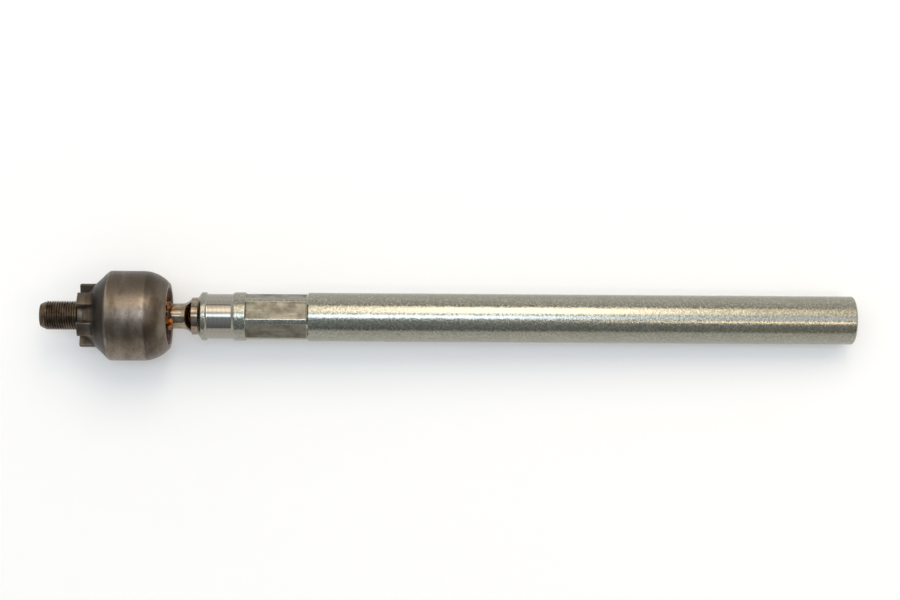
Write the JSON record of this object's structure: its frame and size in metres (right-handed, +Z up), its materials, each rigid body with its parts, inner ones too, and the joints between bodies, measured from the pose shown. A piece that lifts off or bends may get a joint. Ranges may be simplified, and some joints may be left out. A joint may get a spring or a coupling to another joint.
{
  "type": "inner tie rod",
  "caption": "Steering rack inner tie rod: castellated ball socket with a threaded rack stud, and a long plated tube that swings on the ball and is threaded inside at its free end.",
  "frame": {"origin": "on the rod's axis, in the plane of the socket's lugs, the face that seats on the rack", "axes": "+X along the rod towards the open end of the tube, -X along the rack stud, +Z up as the rod lies on its side, +Y to its left"},
  "size_m": [0.3363, 0.037, 0.037],
  "materials": {
    "socket_steel": "bare forged and turned steel, oiled and stained",
    "spring_steel": "blued spring steel",
    "seat_plastic": "natural acetal",
    "ball_steel": "ground and polished steel",
    "zinc_plate": "zinc plated, fine mottle"
  },
  "bodies": {
    "socket": {"socket_housing": "socket_steel", "preload_spring": "spring_steel"},
    "seat": {"rear_ball_seat": "seat_plastic", "front_ball_seat": "seat_plastic"},
    "rod": {"ball_stud": "ball_steel", "rod_tube": "zinc_plate"}
  },
  "joints": [
    {"name": "rod_azimuth", "type": "hinge", "parent": "socket", "child": "seat", "pos_m": [0.0231, 0, 0], "axis": [1, 0, 0], "continuous": true},
    {"name": "rod_swing", "type": "hinge", "parent": "seat", "child": "rod", "pos_m": [0.0231, 0, 0], "axis": [0, 1, 0], "range_deg": [-22, 22]}
  ]
}
